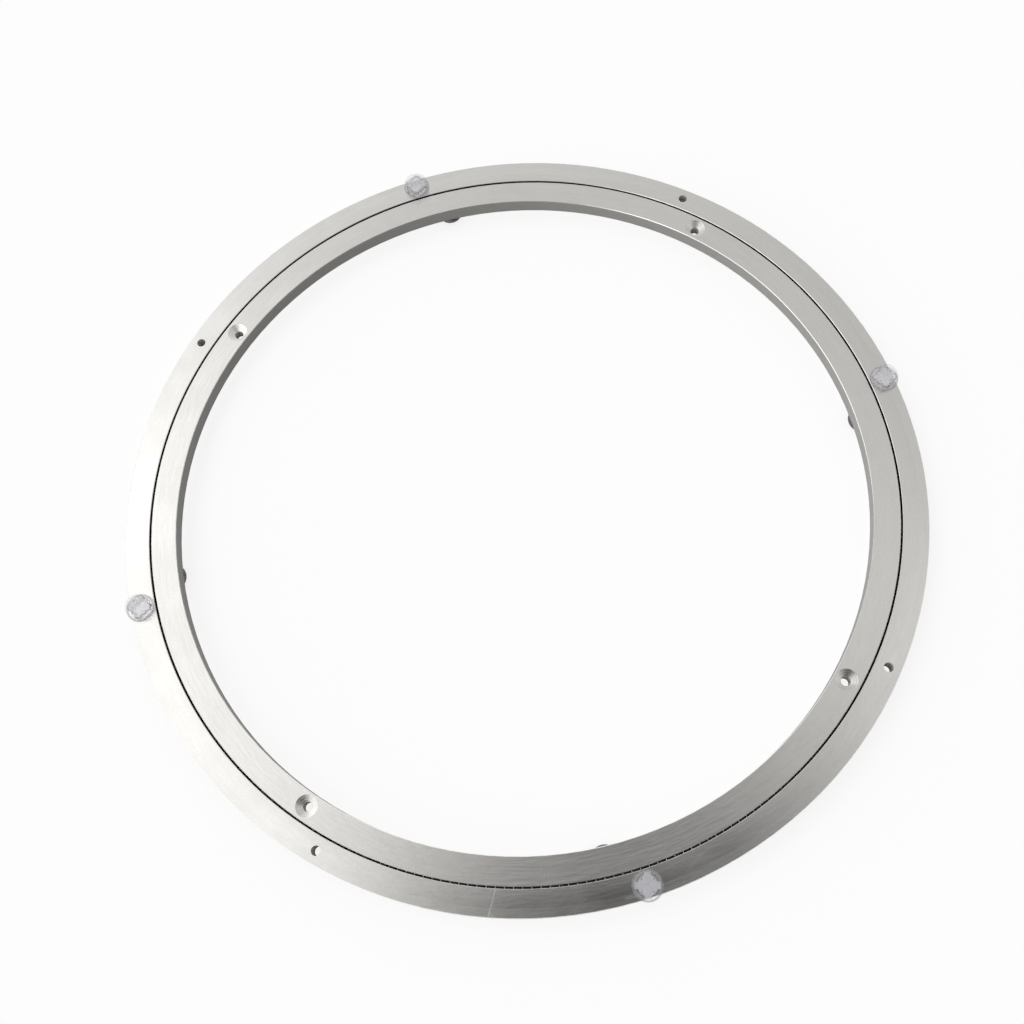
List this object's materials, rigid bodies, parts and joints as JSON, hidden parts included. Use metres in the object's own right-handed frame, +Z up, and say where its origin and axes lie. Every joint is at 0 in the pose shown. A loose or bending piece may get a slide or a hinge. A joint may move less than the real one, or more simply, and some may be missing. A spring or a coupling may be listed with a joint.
{
  "type": "lazy susan bearing",
  "caption": "Large flat ring bearing: a turning outer ring on a still inner ring, with balls between them, screw holes in both, clear pads on top and clear feet below.",
  "frame": {"origin": "centre of the rings, at the level of the surface that the feet stand on", "axes": "+Z up along the turning axis; +X from the centre through the first foot under the inner ring"},
  "size_m": [0.402, 0.402, 0.016],
  "materials": {
    "ring_aluminium": "finely turned, brushed round the ring",
    "plug_aluminium": "turned",
    "ball_steel": "polished",
    "clear_vinyl": "clear, smooth",
    "frosted_plastic": "frosted"
  },
  "bodies": {
    "inner_body": {"inner_ring": "ring_aluminium", "filling_plug": "plug_aluminium", "foot_boot_1": "clear_vinyl", "foot_boot_2": "clear_vinyl", "foot_boot_3": "clear_vinyl", "foot_boot_4": "clear_vinyl", "foot_hub_1": "frosted_plastic", "foot_hub_2": "frosted_plastic", "foot_hub_3": "frosted_plastic", "foot_hub_4": "frosted_plastic"},
    "outer_body": {"outer_ring": "ring_aluminium", "top_pad_boot_1": "clear_vinyl", "top_pad_boot_2": "clear_vinyl", "top_pad_boot_3": "clear_vinyl", "top_pad_boot_4": "clear_vinyl", "top_pad_hub_1": "frosted_plastic", "top_pad_hub_2": "frosted_plastic", "top_pad_hub_3": "frosted_plastic", "top_pad_hub_4": "frosted_plastic"},
    "ball_set": {"bearing_balls": "ball_steel"}
  },
  "joints": [
    {"name": "outer_turn", "type": "hinge", "parent": "inner_body", "child": "outer_body", "pos_m": [0, 0, 0.007], "axis": [0, 0, 1], "continuous": true},
    {"name": "ball_orbit", "type": "hinge", "parent": "inner_body", "child": "ball_set", "pos_m": [0, 0, 0.007], "axis": [0, 0, 1], "continuous": true}
  ],
  "couplings": [
    {"joint": "ball_orbit", "follows": "outer_turn", "ratio": 0.5038}
  ]
}
